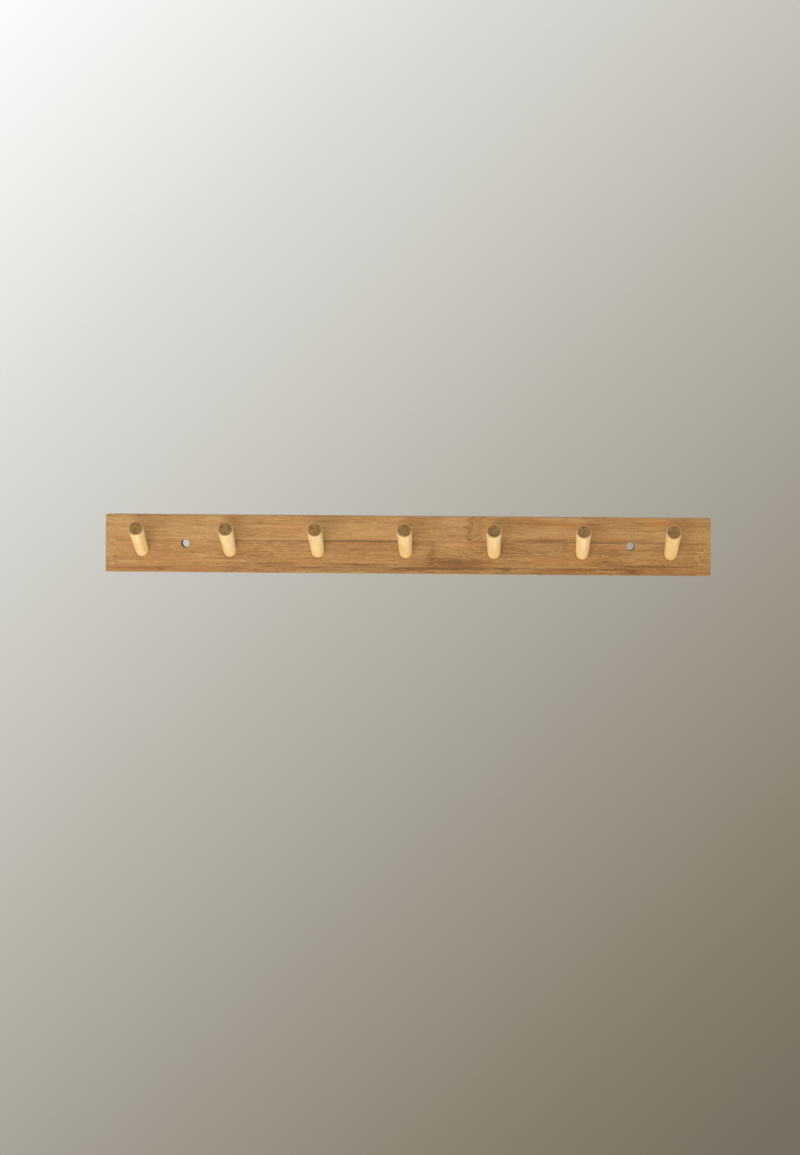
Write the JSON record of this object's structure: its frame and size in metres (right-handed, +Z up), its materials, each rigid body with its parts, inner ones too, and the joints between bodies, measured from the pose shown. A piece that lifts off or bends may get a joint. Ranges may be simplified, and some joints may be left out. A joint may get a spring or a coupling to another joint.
{
  "type": "wall coat rack",
  "caption": "Long thin laminated bamboo board for a wall, with a row of upward-tilted dowel pegs to hang coats on and plain round screw holes.",
  "frame": {"origin": "centre of the board's back face, on the wall plane, midway between the two screw holes", "axes": "+X along the board to the right, seen from the front; +Y out of the back face, into the wall; +Z up"},
  "size_m": [0.68, 0.0879, 0.065],
  "materials": {
    "bamboo": "satin lacquer on caramel bamboo",
    "bamboo_core": "satin lacquer on the edges only",
    "peg_wood": "fine sanded, clear satin lacquer, browner end grain"
  },
  "bodies": {
    "root": {"front_strip_top": "bamboo", "front_strip_middle": "bamboo", "front_strip_bottom": "bamboo", "core_strip_top": "bamboo_core", "core_strip_middle": "bamboo_core", "core_strip_bottom": "bamboo_core", "back_strip_top": "bamboo", "back_strip_middle": "bamboo", "back_strip_bottom": "bamboo", "peg_1": "peg_wood", "peg_2": "peg_wood", "peg_3": "peg_wood", "peg_4": "peg_wood", "peg_5": "peg_wood", "peg_6": "peg_wood", "peg_7": "peg_wood"}
  },
  "joints": []
}
